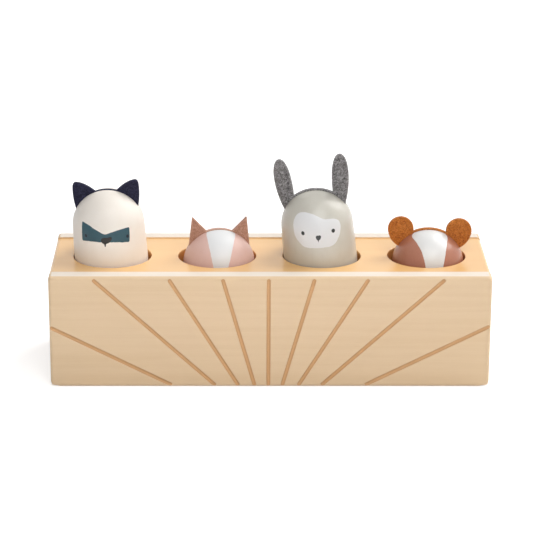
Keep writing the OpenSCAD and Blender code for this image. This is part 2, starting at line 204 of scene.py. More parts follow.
def panel_columns(angles):
    """Lines that cross a panel's face from its lower edge to the rim over its sides and top, as
    x on the lower edge and length along the rim. Beside each groove they run parallel to it at
    close steps, and elsewhere they spread evenly, about three millimetres apart."""
    knots = [[(-BOX_W / 2, 0.0)]]
    half = np.array([0.28, 0.55, 0.8, 1.0, 1.1, 1.25])
    offsets = np.concatenate([-half[::-1], [0], half])
    spacing = 3
    for angle in angles:
        x, z = FAN_X + offsets * np.cos(angle), FAN_Z - offsets * np.sin(angle)
        slope = np.tan(angle)
        low, high = x - z * slope, x + (PANEL_H - z) * slope
        with np.errstate(divide="ignore", invalid="ignore"):
            left, right = z + (-BOX_W / 2 - x) / slope, z + (BOX_W / 2 - x) / slope
        rim = np.where(high < -BOX_W / 2, left,
                       np.where(high > BOX_W / 2, 2 * PANEL_H + BOX_W - right,
                                PANEL_H + BOX_W / 2 + high))
        knots.append(list(zip(low, rim)))
    knots.append([(BOX_W / 2, 2 * PANEL_H + BOX_W)])
    columns = list(knots[0])
    for knot in knots[1:]:
        a, b = np.array(columns[-1]), np.array(knot[0])
        rims = np.linspace(a[1], b[1], int(np.ceil((b[1] - a[1]) / spacing)) + 1)[1:-1]
        corners = [c for c in (PANEL_H, PANEL_H + BOX_W) if a[1] < c < b[1]]
        near = [c + step for c in corners for step in (-2, -1.3, -0.6, 0, 0.6, 1.3, 2)]
        rims = np.unique(np.concatenate([rims, near])) if near else rims
        rims = rims[(rims > a[1]) & (rims < b[1])]
        share = (rims - a[1]) / (b[1] - a[1])
        columns += list(zip(a[0] + share * (b[0] - a[0]), rims)) + knot
    return np.array(columns).T


def panel(angles, front):
    """A panel. Rows run from the lower edge to the rim, close together where the edges round off.
    The edge falls away as a quarter circle, a wall leads back along the rim, and the inner edge
    has a hairline bevel that shows the glue joint."""
    low_x, rim = panel_columns(angles)
    corners = [0, PANEL_H, PANEL_H + BOX_W, 2 * PANEL_H + BOX_W]
    rim_x = np.interp(rim, corners, [-BOX_W / 2, -BOX_W / 2, BOX_W / 2, BOX_W / 2])
    rim_z = np.interp(rim, corners, [0, PANEL_H, PANEL_H, 0])
    steps = np.array([0, 0.08, 0.2, 0.38, 0.6, 0.85, 1.1, 1.35, 1.6, 1.85, 2.1, 2.4, 2.8, 3.4])
    steps = steps[:, None]
    on_top = (rim > PANEL_H) & (rim < PANEL_H + BOX_W)
    room = np.where(on_top, PANEL_H, np.abs(rim_x - low_x))
    least = 2.1 * steps.max()
    start, stop = steps / np.maximum(rim_z, least), 1 - steps[::-1] / np.maximum(room, least)
    middle = np.linspace(0, 1, 22)[1:-1, None]
    share = np.concatenate([start, start[-1] + middle * (stop[0] - start[-1]), stop])
    x, z = low_x + share * (rim_x - low_x), share * rim_z
    past_x = np.maximum(np.abs(x) - (BOX_W / 2 - ARRIS), 0)
    past_z = np.maximum(np.abs(z - PANEL_H / 2) - (PANEL_H / 2 - ARRIS), 0)
    past = np.hypot(past_x, past_z)
    pull = np.minimum(1, ARRIS / np.maximum(past, 1e-9))
    x = np.where(past > ARRIS, np.sign(x) * (BOX_W / 2 - ARRIS + past_x * pull), x)
    z = np.where(past > ARRIS, PANEL_H / 2 + np.sign(z - PANEL_H / 2) * (
        PANEL_H / 2 - ARRIS + past_z * pull), z)
    depth = fall(np.minimum(past, ARRIS), ARRIS)
    if len(angles):
        depth = np.maximum(depth, groove_depth(x, z))
    patches = [np.stack([x, -BOX_D / 2 + depth, z], axis=-1)]
    inner_y = -BOX_D / 2 + PANEL
    inset = [np.clip(x, -BOX_W / 2 + HAIRLINE, BOX_W / 2 - HAIRLINE),
             np.clip(z, HAIRLINE, PANEL_H - HAIRLINE)]
    for row in (0, -1):
        wall_x = np.stack([x[row], x[row], x[row], inset[0][row]])
        wall_z = np.stack([z[row], z[row], z[row], inset[1][row]])
        wall_y = np.array([-BOX_D / 2 + ARRIS, inner_y - 3, inner_y - HAIRLINE, inner_y])[:, None]
        patches.append(np.stack([wall_x, wall_y + 0 * wall_x, wall_z], axis=-1))
    share = np.linspace(0, 1, 4)[:, None]
    cap_x = inset[0][0] + share * (inset[0][-1] - inset[0][0])
    cap_z = inset[1][0] + share * (inset[1][-1] - inset[1][0])
    patches.append(np.stack([cap_x, inner_y + 0 * cap_x, cap_z], axis=-1))
    side = np.array([1, 1 if front else -1, 1])
    return [patch * side for patch in patches]


def group(name, vectors, numbers):
    """A shader node group with its input and output nodes, by the names of the vectors that go in
    and of the numbers that come out."""
    made = bpy.data.node_groups.new(name, "ShaderNodeTree")
    for label in vectors:
        made.interface.new_socket(label, in_out="INPUT", socket_type="NodeSocketVector")
    for label in numbers:
        made.interface.new_socket(label, in_out="OUTPUT", socket_type="NodeSocketFloat")
    return made, add(made, "NodeGroupInput"), add(made, "NodeGroupOutput")


def hand_out(made, end, **values):
    """Links values to the outputs of a group."""
    for label, value in values.items():
        made.links.new(value, end.inputs[label])


def math_node(tree, operation, first, second=0.0):
    """The result of a sum or function of one or two numbers."""
    return add(tree, "ShaderNodeMath", {0: first, 1: second}, operation=operation).outputs[0]


def ramp(tree, value, low, high, to_low=0.0, to_high=1.0):
    """Maps a value smoothly from one range to another."""
    return add(tree, "ShaderNodeMapRange", {"Value": value, "From Min": low, "From Max": high,
               "To Min": to_low, "To Max": to_high}, interpolation_type="SMOOTHSTEP"
               ).outputs["Result"]


def blend(tree, share, first, second):
    """Mixes two colours, each a value or a socket."""
    return add(tree, "ShaderNodeMix", {"Factor": share, "A": first, "B": second},
               data_type="RGBA").outputs["Result"]


def noise(tree, where, scale=1.0, **values):
    """Noise at a place, by the number of its waves in a unit of length."""
    return add(tree, "ShaderNodeTexNoise", {"Vector": where, "Scale": scale, **values}
               ).outputs["Fac"]


def stretch(tree, where, factors):
    """A vector times one factor for each axis."""
    return add(tree, "ShaderNodeVectorMath", {0: where, 1: factors}, operation="MULTIPLY"
               ).outputs[0]


def make_grain():
    """Solid grain of a fine hardwood, along the X of the vector that goes in, in metres. Broad
    bands and growth rings, fine fibres and short dark flecks are noise stretched along X."""
    made, start, end = group("wood_grain", ["Vector"], ["Bands", "Fibres", "Flecks", "Height"])
    where = start.outputs["Vector"]

    def stretched(along, across, detail, seed, warp=0.0):
        """Noise with so many waves in a metre along the grain and across it."""
        moved = add(made, "ShaderNodeVectorMath", {
            0: stretch(made, where, (along, across, across)), 1: (seed, 2 * seed, 3 * seed)},
            operation="ADD").outputs[0]
        return noise(made, moved, Detail=detail, Roughness=0.55, Distortion=warp)

    slow = stretched(7, 90, 2, 3.1, 0.6)
    parts = add(made, "ShaderNodeSeparateXYZ", {"Vector": where})
    off_pith = [math_node(made, "POWER", math_node(made, "ADD", parts.outputs[axis], shift), 2.0)
                for axis, shift in (("Y", 0.085), ("Z", 0.034))]
    radius = math_node(made, "SQRT", math_node(made, "ADD", *off_pith))
    rings = math_node(made, "SINE", math_node(made, "ADD", math_node(
        made, "MULTIPLY", radius, 1500.0), math_node(made, "MULTIPLY", slow, 9.0)))
    bands = math_node(made, "ADD", math_node(made, "MULTIPLY", rings, 0.12), slow)
    fibres = stretched(55, 1900, 3, 7.7)
    flecks = ramp(made, stretched(130, 3600, 1, 1.3), 0.66, 0.78)
    height = math_node(made, "SUBTRACT", math_node(made, "MULTIPLY", fibres, 0.6),
                       math_node(made, "MULTIPLY", flecks, 0.8))
    hand_out(made, end, Bands=bands, Fibres=fibres, Flecks=flecks, Height=height)
    return made


grain = make_grain()


def srgb(red, green, blue):
    """Linear colour of a screen colour given from 0 to 255."""
    level = np.array([red, green, blue]) / 255
    linear = np.where(level < 0.04045, level / 12.92, ((level + 0.055) / 1.055) ** 2.4)
    return (*[float(part) for part in linear], 1.0)


def material(name, roughness, **values):
    """A material whose shader has its plain values set on its own sockets."""
    made = bpy.data.materials.new(name)
    made.use_nodes = True
    made.node_tree.nodes.clear()
    shader = add(made.node_tree, "ShaderNodeBsdfPrincipled", {"Roughness": roughness})
    for label, value in values.items():
        shader.inputs[label.replace("_", " ")].default_value = value
    add(made.node_tree, "ShaderNodeOutputMaterial", {"Surface": shader.outputs[0]})
    return made, made.node_tree, shader


def finish(tree, shader, colour, height, relief):
    """Links a colour and a height to a shader, the height as bumps of so many millimetres."""
    bump = add(tree, "ShaderNodeBump", {"Height": height, "Strength": 1.0,
               "Distance": relief / 1000})
    tree.links.new(bump.outputs[0], shader.inputs["Normal"])
    tree.links.new(colour, shader.inputs["Base Color"])


def wood(name, light, dark, roughness, turn=(0, 0, 0), shift=(0, 0, 0), contrast=1.0,
         relief=0.12, **values):
    """Bare or stained wood: the light and dark colour of its grain, the turn that lays the grain
    along the piece, the shift that makes each board's figure its own, and the grain's contrast
    and relief."""
    made, tree, shader = material(name, roughness, **values)
    place = add(tree, "ShaderNodeTexCoord").outputs["Object"]
    turned = add(tree, "ShaderNodeMapping", {"Vector": place, "Rotation": turn,
                 "Location": shift}).outputs[0]
    figure = add(tree, "ShaderNodeGroup", {"Vector": turned}, node_tree=grain)
    bands, fibres = [
        math_node(tree, "MULTIPLY", ramp(tree, figure.outputs[part], 0.3, high), weight * contrast)
        for part, high, weight in (("Bands", 0.75, 0.55), ("Fibres", 0.7, 0.35))]
    flecks = math_node(tree, "MULTIPLY", figure.outputs["Flecks"], 0.35 * contrast)
    share = math_node(tree, "ADD", math_node(tree, "ADD", bands, fibres), flecks)
    colour = blend(tree, share, light, dark)
    finish(tree, shader, colour, figure.outputs["Height"], relief)
    return made, tree, shader, colour, place


def panel_wood(name, shift):
    """Maple of a panel, near white along its planed upper edge: partly the paler edge grain, and
    partly a painted highlight in place of the white that the varnish reflects there."""
    made, tree, shader, colour, place = wood(name, srgb(232, 204, 168), srgb(223, 192, 151), 0.45,
                                             shift=shift, contrast=0.55, relief=0.05)
    height = add(tree, "ShaderNodeSeparateXYZ", {"Vector": place}).outputs["Z"]
    # Painted highlight: the upper edge turns near white, for the reflection in its varnish.
    edge = ramp(tree, height, (PANEL_H - 0.14) / 1000, (PANEL_H - 0.02) / 1000)
    colour = blend(tree, edge, colour, srgb(243, 231, 217))
    tree.links.new(colour, shader.inputs["Base Color"])
    return made, tree, shader, colour


maple, tree, shader, colour = panel_wood("front_maple", (0, 0, 0))
cut = add(tree, "ShaderNodeAttribute", attribute_name="groove").outputs["Fac"]
burnt = blend(tree, ramp(tree, cut, 0.04, 0.22), colour, srgb(206, 159, 110))
burnt = blend(tree, ramp(tree, cut, 0.35, 0.75), burnt, srgb(211, 166, 118))
tree.links.new(burnt, shader.inputs["Base Color"])

# The burnt colour stays on the face, and off the wall that leads back from its rim.
FACE_Y = 1.5 - BOX_D / 2
front = surface("front", panel(RAY_ANGLES, True),
                {"groove": lambda p: groove_depth(p[:, 0], p[:, 2]) * (p[:, 1] < FACE_Y)})
front.data.materials.append(maple)
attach(front, "housing")
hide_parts("front_panel")

back_maple = panel_wood("back_maple", (0.31, 0.2, 0.1))[0]
back = surface("back", panel([], False))
back.data.materials.append(back_maple)
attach(back, "housing")
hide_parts("back_panel")


# Top board: maple stained honey yellow and varnished, glued between the panels, with four bored
# holes. The bores are left raw, in a darker orange that is partly painted shade of the deep holes.
HOLE_STEP = 58.0
HOLE_X = HOLE_STEP * (np.arange(4) - 1.5)
HOLE_R, RIM_BEVEL, TOP_T = 21.6, 0.4, 9.0
TOP_Y = BOX_D / 2 - PANEL


def top_height(x, y):
    """Height of the top: flat, rounded off at its two ends, with a hairline bevel at the
    joints."""
    return BOX_H - fall(np.abs(x) - (BOX_W / 2 - ARRIS), ARRIS) - fall(
        np.abs(y) - (TOP_Y - HAIRLINE), HAIRLINE)


def top_board():
    """Four cells side by side, one round each hole. A cell's columns run out from the hole's rim
    to evenly spaced points of the cell's outline, and its rows are circles that turn into
    rectangles. Bores, outer walls and the underside share their border points."""
    patches = []
    edges = [-BOX_W / 2, *(HOLE_X[:-1] + HOLE_STEP / 2), BOX_W / 2]
    side = np.linspace(0, 1, 49)[:-1]
    for cell, centre in enumerate(HOLE_X):
        left, right = edges[cell], edges[cell + 1]
        mid, half = (left + right) / 2, (right - left) / 2
        x = np.concatenate([left + side * 2 * half, right + 0 * side,
                            right - side * 2 * half, left + 0 * side, [left]])
        y = TOP_Y * np.concatenate([-1 + 0 * side, -1 + 2 * side,
                                    1 + 0 * side, 1 - 2 * side, [-1]])
        turn = np.arctan2(y, x - centre)
        ring_x, ring_y = np.cos(turn), np.sin(turn)
        inset = np.array([2.2, 1.95, 1.7, 1.4, 1.1, 0.8, 0.5, 0.25, 0.18, 0.1, 0.04, 0])[:, None]
        rows_x = mid + (x - mid) * (1 - inset / half)
        rows_y = y * (1 - inset / TOP_Y)
        rim_r = HOLE_R + RIM_BEVEL
        share = np.array([0, 0.03, 0.1, 0.25, 0.45, 0.7])[:, None]
        near_x = centre + rim_r * ring_x + share * (rows_x[0] - centre - rim_r * ring_x)
        near_y = rim_r * ring_y + share * (rows_y[0] - rim_r * ring_y)
        face_x, face_y = np.concatenate([near_x, rows_x]), np.concatenate([near_y, rows_y])
        patches.append(np.stack([face_x, face_y, top_height(face_x, face_y)], axis=-1))
        arc = np.radians([0, 22.5, 45, 67.5, 90])
        radius = np.concatenate([HOLE_R + RIM_BEVEL * (1 - np.sin(arc)), [HOLE_R] * 4,
                                 [HOLE_R + HAIRLINE]])[:, None]
        height = BOX_H - np.concatenate([RIM_BEVEL * (1 - np.cos(arc)),
                                         [2, 4, 6.5, TOP_T - HAIRLINE, TOP_T]])[:, None]
        patches.append(np.stack([centre + radius * ring_x, radius * ring_y,
                                 height + 0 * ring_x], axis=-1))
        share = np.array([0, 0.5, 1])[:, None]
        rim_r = HOLE_R + HAIRLINE
        under_x = centre + rim_r * ring_x + share * (x - centre - rim_r * ring_x)
        under_y = rim_r * ring_y + share * (y - rim_r * ring_y)
        patches.append(np.stack([under_x, under_y, BOX_H - TOP_T + 0 * under_x], axis=-1))
        count = len(side)
        walls = [slice(0, count + 1), slice(2 * count, 3 * count + 1)]
        if cell == 0:
            walls.append(slice(3 * count, 4 * count + 1))
        if cell == len(HOLE_X) - 1:
            walls.append(slice(count, 2 * count + 1))
        for part in walls:
            down = np.array([0, 0.35, 0.7, 1])[:, None]
            upper = top_height(x[part], y[part])
            wall_z = upper + down * (BOX_H - TOP_T - upper)
            patches.append(np.stack([x[part] + 0 * wall_z, y[part] + 0 * wall_z, wall_z], axis=-1))
    return patches


stain, tree, shader, colour, place = wood("yellow_stain", srgb(245, 197, 131),
                                          srgb(240, 188, 119), 0.35, shift=(0.7, 0.0, 0.3),
                                          contrast=0.55, relief=0.03, Coat_Weight=0.5,
                                          Coat_Roughness=0.2)
parts = add(tree, "ShaderNodeSeparateXYZ", {"Vector": place})
# Partly painted shade: below the rim the bores turn a darker orange, for the shade in the holes.
down = ramp(tree, parts.outputs["Z"], (BOX_H - 0.2) / 1000, (BOX_H - 1.6) / 1000)
along = math_node(tree, "ABSOLUTE", parts.outputs["X"])
inside = math_node(tree, "MULTIPLY", down, ramp(tree, along, 0.1175, 0.117))
raw_and_shaded = blend(tree, inside, colour, srgb(214, 150, 86))
tree.links.new(raw_and_shaded, shader.inputs["Base Color"])

top = surface("top", top_board(), sharp=25.0)
top.data.materials.append(stain)
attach(top, "housing")
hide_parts("top_board")


# Pegs: beech turned to a cylinder with a round head, dipped in semi-gloss paint, with the face
# brushed on by hand. A saw kerf across the head takes the felt, and a blind hole below the pin.
ANIMALS = ["cat", "fox", "rabbit", "bear"]
# For each animal: its lean in the hole, its shift along the box, the height of its head's widest
# line above the yellow board, the turn of face and felt, the felt's tilt, and the angle above the
# widest line where its ears begin.
LEANS = np.radians([-3.4, 0.6, -6.0, 2.0])
SLIPS = [-0.8, 1.05, -0.8, 1.05]
HEAD_UP = [18.3, -4.7, 18.3, -4.7]
FELT_TURNS = np.radians([-2.4, 4.6, -6.0, 0.0])
FELT_TILTS = np.radians([0, 0, -1.2, 0])
ROOTS = [29.8, 31.7, 31.4, 30.0]
ROOT_ANGLES = np.radians(ROOTS)
PEG_R, HEAD_R, TAPER, PEG_BELOW = 20.3, 19.9, 18.0, 30.55
FOOT_BEVEL, KERF_HALF, KERF_GAP, PIN_HOLE_R, PIN_DEPTH = 0.8, 1.15, 0.05, 5.05, 12.0


def at_head(i):
    """The place of an animal's head: turned with its felt, at its height, leaning in its hole."""
    stand = Matrix.Translation((float(HOLE_X[i] + SLIPS[i]) / 1000, 0, BOX_H / 1000))
    lift = Matrix.Translation((0, 0, HEAD_UP[i] / 1000))
    return (stand @ Matrix.Rotation(LEANS[i], 4, "Y") @ lift
            @ Matrix.Rotation(FELT_TURNS[i], 4, "Z"))


def tipped(points, angle):
    """Points turned about the Y axis."""
    x, y, z = points[..., 0], points[..., 1], points[..., 2]
    return np.stack([x * np.cos(angle) + z * np.sin(angle), y,
                     z * np.cos(angle) - x * np.sin(angle)], axis=-1)


def peg(i):
    """A lathe surface up to the kerf's floor, and above it two half caps, each spun between the
    circle at the floor's height and the edge where the kerf's wall cuts the ball. The caps, the
    kerf's walls and its floor share their border points, and all of them tip with the felt."""
    floor_z = HEAD_R * math.sin(ROOT_ANGLES[i]) - KERF_GAP
    floor_r = math.sqrt(HEAD_R ** 2 - floor_z ** 2)
    corner = math.asin(KERF_HALF / floor_r)
    front_turn = np.linspace(-corner, -math.pi + corner, 201)
    back_turn = -front_turn[::-1]
    across = KERF_HALF * np.linspace(-1, 1, 6)[1:-1]
    right_turn = np.arcsin(across / floor_r)
    left_turn = -math.pi - right_turn
    turns = np.concatenate([front_turn, left_turn, back_turn - 2 * math.pi,
                            right_turn[::-1] - 2 * math.pi, [front_turn[0] - 2 * math.pi]])
    rise = np.radians(np.linspace(0, math.degrees(math.asin(floor_z / HEAD_R)), 40)[1:])
    low = -PEG_BELOW
    straight, tapered = 8, 49
    radius = np.concatenate([[0, PIN_HOLE_R * 0.5, PIN_HOLE_R, PIN_HOLE_R, PIN_HOLE_R,
                              PEG_R / 2, PEG_R - FOOT_BEVEL, PEG_R],
                             np.full(straight, PEG_R),
                             np.linspace(PEG_R, HEAD_R, tapered + 1)[1:], HEAD_R * np.cos(rise)])
    height = np.concatenate([[low + PIN_DEPTH] * 3, [low + PIN_DEPTH / 2, low, low, low,
                                                     low + FOOT_BEVEL],
                             np.linspace(low + FOOT_BEVEL, -TAPER, straight + 1)[1:],
                             np.linspace(-TAPER, 0, tapered + 1)[1:], HEAD_R * np.sin(rise)])
    radius, height = radius[:, None], height[:, None]
    tip = FELT_TILTS[i] * np.concatenate([np.zeros(len(radius) - len(rise)),
                                          np.arange(1, len(rise) + 1) / len(rise)])[:, None]
    patches = [tipped(np.stack([radius * np.cos(turns), radius * np.sin(turns),
                                height + 0 * turns], axis=-1), tip)]
    edge_r = math.sqrt(HEAD_R ** 2 - KERF_HALF ** 2)
    start = math.asin(floor_z / edge_r)
    sweep = np.linspace(start, math.pi - start, len(front_turn))
    for side in (-1, 1):
        base = np.stack([floor_r * np.cos(front_turn), -side * floor_r * np.sin(front_turn),
                         floor_z + 0 * front_turn], axis=-1)
        edge = np.stack([edge_r * np.cos(sweep), side * KERF_HALF + 0 * sweep,
                         edge_r * np.sin(sweep)], axis=-1)
        share = np.linspace(0, 1, 60)[:, None, None]
        cap = base + share * (edge - base)
        cap = HEAD_R * cap / np.linalg.norm(cap, axis=-1, keepdims=True)
        patches.append(tipped(cap, FELT_TILTS[i]))
        foot = edge * np.array([1, 1, 0]) + np.array([0, 0, floor_z])
        share = np.linspace(0, 1, 5)[:, None, None]
        patches.append(tipped(edge + share * (foot - edge), FELT_TILTS[i]))
    y = np.concatenate([[-KERF_HALF], across, [KERF_HALF]])[:, None]
    floor_x = np.sqrt(floor_r ** 2 - y ** 2) * np.cos(sweep) / math.cos(start)
    floor = np.stack([floor_x, y + 0 * floor_x, floor_z + 0 * floor_x], axis=-1)
    patches.append(tipped(floor, FELT_TILTS[i]))
    return patches


# Faces, painted on the front of the head. A mark's outline is given in millimetres along the
# surface: to the right of the middle, and up from the head's widest line. Its corners are cut by a
# distance of its own. An eye is given by its middle and its radius.
PATCHES = [
    [(-14.7, 6.9), (-11, 5.9), (-8.0, 4.3), (-4, 1.9), (-0.9, 0.2), (2, 1.1), (5.8, 2.0),
     (9.5, 2.4), (13.2, 2.6), (13.2, -1.4), (12.6, -5.9), (9, -5.3), (5.8, -4.7), (-0.7, -4.2),
     (-6.9, -3.8), (-11, -3.8), (-15.4, -4.1), (-15.3, 0.7)],
    [(-10.2, 25.5), (-9.1, 23.7), (-6.9, 20.6), (-5.5, 15.2), (-4.0, 9.0), (-2.8, 4.1),
     (-2.2, 0), (-2.3, -4), (-2.1, -8.5), (-0.6, -11), (1.4, -11.2), (3.2, -9), (3.9, -4),
     (4.4, 0), (5.3, 4.0), (6.6, 8.9), (7.9, 14.3), (9.5, 20.0), (13.2, 22.4), (13.5, 24.5),
     (6, 29.5), (0, 33), (-6, 29.5)],
    [(-14.2, 6.9), (-13.1, 9.3), (-11.1, 11.8), (-8.1, 13.1), (-4.8, 13.0), (-1.8, 11.8),
     (0.8, 10.2), (3.7, 8.2), (6.6, 8.0), (10.0, 7.5), (12.6, 6.1), (13.8, 3.8), (13.5, 0.7),
     (12.5, -1.9), (10.9, -4.3), (8.9, -6.5), (6.4, -7.4), (2.8, -7.4), (-1.9, -7.3),
     (-6.4, -7.0), (-9.2, -6.2), (-11.5, -3.6), (-13.5, -1.0), (-14.4, 2.8)],
    [(-12.8, 19.6), (-9.2, 18.2), (-7.1, 15.7), (-5.2, 12.5), (-3.9, 8.9), (-2.7, 4.0),
     (-1.9, 0), (-2.4, -4), (-2.6, -8), (-1, -10.6), (1.8, -11), (4.4, -9), (5.0, -4.5),
     (6.0, 0), (7.2, 4.4), (8.0, 8.9), (9.0, 13.7), (10.3, 18.0), (12.5, 20.4), (12.5, 25),
     (6, 29.5), (0, 33), (-6, 29.5), (-13, 22)]]
NOSES = [
    [(-3.5, -3.3), (-3.0, -1.9), (-1.6, -1.5), (0.0, -1.7), (2.0, -1.2), (2.7, -1.7), (2.1, -3.6),
     (0.9, -4.7), (-0.7, -5.0), (-0.95, -6.9), (-1.55, -6.9), (-1.8, -5.2), (-2.8, -4.6)],
    [(-1.8, -6.2), (0.9, -5.6), (3.2, -6.4), (2.4, -8), (1.2, -8.9), (1.0, -10.2), (0.7, -8.9),
     (-0.9, -8.2)],
    [(-1.4, -0.5), (-0.7, 0), (0, -0.2), (0.8, 0), (1.5, -0.6), (1.4, -1.9), (0.7, -2.7),
     (0.0, -3.0), (-0.05, -4.2), (-0.35, -4.2), (-0.4, -3.0), (-1.1, -2.4), (-1.5, -1.4)],
    [(-1.2, -5.6), (1.3, -5.2), (4.0, -5.8), (3.6, -7.3), (1.8, -8.4), (1.4, -9.8), (1.0, -8.4),
     (-0.7, -7.3)]]
PATCH_CUTS, NOSE_CUT = [0.5, 1.5, 9, 1.5], 0.35
EYES = [[(-12.4, -0.8, 0.85), (11.7, -2.3, 0.85)], [(-8.6, -1.6, 0.95), (9.6, -1.9, 0.95)],
        [(-8.5, 1.4, 1.05), (8.6, 1.1, 1.05)], [(-8.2, -1.2, 1.0), (10.2, -1.5, 1.0)]]
EYE_STRETCH, UNPAINTED, PAINT_RELIEF = 0.92, -5, 0.06


def rounded(outline, cut):
    """Cuts the corners of a closed outline twice, at a quarter of their sides or a fixed distance
    off, whichever is less."""
    outline = np.array(outline, dtype=float)
    for reach in (cut, cut / 2):
        sides = [np.roll(outline, way, axis=0) - outline for way in (1, -1)]
        outline = np.stack([outline + side * np.minimum(0.25, reach / np.hypot(*side.T))[:, None]
                            for side in sides], axis=1).reshape(-1, 2)
    return outline


def depth_inside(u, v, outline):
    """Distance of points from a closed outline, positive inside. Inside is where an odd number
    of sides is crossed on the way out."""
    nearest, crossed = np.full(u.shape, 1e9), np.zeros(u.shape, dtype=bool)
    for (au, av), (bu, bv) in zip(outline, np.roll(outline, -1, axis=0)):
        du, dv = bu - au, bv - av
        share = np.clip(((u - au) * du + (v - av) * dv) / (du * du + dv * dv + 1e-12), 0, 1)
        nearest = np.minimum(nearest, np.hypot(u - au - share * du, v - av - share * dv))
        if av != bv:
            crossed ^= ((av > v) != (bv > v)) & (u < au + (v - av) * du / dv)
    return np.where(crossed, nearest, -nearest)


def on_face(points, i):
    """Millimetres to the right and up along a head's surface, seen from the front."""
    turn = FELT_TURNS[i]
    x = points[:, 0] * math.cos(turn) - points[:, 1] * math.sin(turn)
    y = points[:, 0] * math.sin(turn) + points[:, 1] * math.cos(turn)
    rise = np.where(points[:, 2] > 0, np.arcsin(np.clip(points[:, 2] / HEAD_R, -1, 1)),
                    points[:, 2] / HEAD_R)
    around = np.arctan2(x, -y)
    return HEAD_R * np.cos(np.maximum(rise, 0)) * around, HEAD_R * rise


def face_fields(i):
    """How deep each point of a head lies inside each kind of mark, negative outside. Nothing is
    painted on the back."""
    def drawn(outline, cut):
        return lambda u, v: depth_inside(u, v, rounded(outline, cut))

    def dots(u, v):
        return np.maximum.reduce([size - np.hypot(u - eye_u, EYE_STRETCH * (v - eye_v))
                                  for eye_u, eye_v, size in EYES[i]])

    def on_front(depth):
        return lambda points: np.where(points[:, 1] < 0, depth(*on_face(points, i)), UNPAINTED)

    return {"patch": on_front(drawn(PATCHES[i], PATCH_CUTS[i])),
            "nose": on_front(drawn(NOSES[i], NOSE_CUT)), "eyes": on_front(dots)}


def make_paint_skin():
    """The skin of brushed or dipped paint over fine wood, as height and as a faint change of
    tone: low waves from the brush, and the grain that shows through. Also a small wobble that
    makes the border of a painted mark look drawn by hand."""
    made, _, end = group("paint_skin", [], ["Height", "Tone", "Wobble"])
    place = add(made, "ShaderNodeTexCoord").outputs["Object"]
    fibre = noise(made, stretch(made, place, (1400, 1400, 60)), Detail=3.0)
    waves, wobble = [noise(made, place, scale, Detail=2.0) for scale in (130.0, 420.0)]
    height = math_node(made, "ADD", math_node(made, "MULTIPLY", fibre, 0.35), waves)
    tone = math_node(made, "ADD", math_node(made, "MULTIPLY", fibre, 0.3),
                     math_node(made, "MULTIPLY", waves, 0.7))
    hand_out(made, end, Height=height, Tone=tone, Wobble=wobble)
    return made


skin = make_paint_skin()


def painted(name, base, shade, mark, nose, eyes, roughness, coat):
    """Painted wood with its marks: two tones of the coat, the patch or stripe, the nose and the
    eyes, each with a slightly raised and wobbly border."""
    made, tree, shader = material(name, roughness, Coat_Weight=coat, Coat_Roughness=0.2,
                                  Specular_IOR_Level=0.35)
    film = add(tree, "ShaderNodeGroup", node_tree=skin)
    tone = ramp(tree, film.outputs["Tone"], 0.3, 0.7)
    colour = blend(tree, tone, base, shade)
    bent = math_node(tree, "MULTIPLY", math_node(
        tree, "SUBTRACT", film.outputs["Wobble"], 0.5), 0.5)
    height = film.outputs["Height"]
    for field, tint in (("patch", mark), ("nose", nose), ("eyes", eyes)):
        depth = add(tree, "ShaderNodeAttribute", attribute_name=field).outputs["Fac"]
        cover = ramp(tree, math_node(tree, "ADD", depth, bent), -0.09, 0.09)
        colour = blend(tree, cover, colour, tint)
        height = math_node(tree, "ADD", height, math_node(tree, "MULTIPLY", cover, 0.5))
    finish(tree, shader, colour, height, PAINT_RELIEF)
    return made


paints = [
    painted("cat_coat", srgb(245, 238, 229), srgb(243, 235, 225), srgb(40, 76, 88),
            srgb(26, 21, 19), srgb(8, 24, 40), 0.5, 0.15),
    painted("fox_coat", srgb(229, 194, 184), srgb(224, 187, 177), srgb(235, 236, 237),
            srgb(24, 20, 20), srgb(24, 20, 20), 0.5, 0.15),
    painted("rabbit_coat", srgb(204, 201, 191), srgb(199, 195, 184), srgb(228, 228, 229),
            srgb(20, 17, 18), srgb(20, 17, 18), 0.5, 0.6),
    painted("bear_coat", srgb(178, 118, 93), srgb(171, 110, 86), srgb(232, 232, 231),
            srgb(20, 17, 17), srgb(20, 17, 17), 0.5, 0.6)]
for i, name in enumerate(ANIMALS):
    piece = surface(name, peg(i), face_fields(i), at_head(i))
    piece.data.materials.append(paints[i])
    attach(piece, name)
    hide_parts(name + "_peg")


# Felt ears: one sheet of wool felt for each animal, cut with shears and glued in the kerf. It
# forms both ears and the band between them, which shows as a low line over the head.
FELT_HALF, FELT_EDGE = 1.1, 0.5  # half the thickness, and the width of the rounded cut edge
LOW_BAND, HIGH_BAND = 0.4, 1.0  # how far the band stands above the head
NAP_RELIEF = 0.35
CAT_RISE, FOX_RISE, RABBIT_RISE, BEAR_R = 10.5, 11.0, 22.6, 7.15


def ear(angle, rise):
    """A point of an ear by its angle above the head's widest line and its height above the
    head."""
    angle = math.radians(angle)
    return (HEAD_R + rise) * np.array([math.cos(angle), math.sin(angle)])


def curve(a, b, c, d, steps=24):
    """A curve from a to d that b and c draw towards them: the four points are weighted by the
    terms of (t + (1 - t)) cubed."""
    t = np.linspace(0, 1, steps + 1)[:, None]
    return ((1 - t) ** 3 * a + 3 * (1 - t) ** 2 * t * b + 3 * (1 - t) * t ** 2 * c + t ** 3 * d)


def evenly(points, count):
    """The same line as a number of points at even steps."""
    length = np.concatenate([[0], np.cumsum(np.hypot(*np.diff(points, axis=0).T))])
    at = np.linspace(0, length[-1], count)
    return np.stack([np.interp(at, length, points[:, 0]), np.interp(at, length, points[:, 1])],
                    axis=-1)


def ear_edge(rise, *arcs):
    """Curves that join end to end. A point of theirs is an angle, and a share of the ear's
    rise."""
    return np.concatenate([curve(*[ear(angle, share * rise) for angle, share in points])
                           for points in arcs])


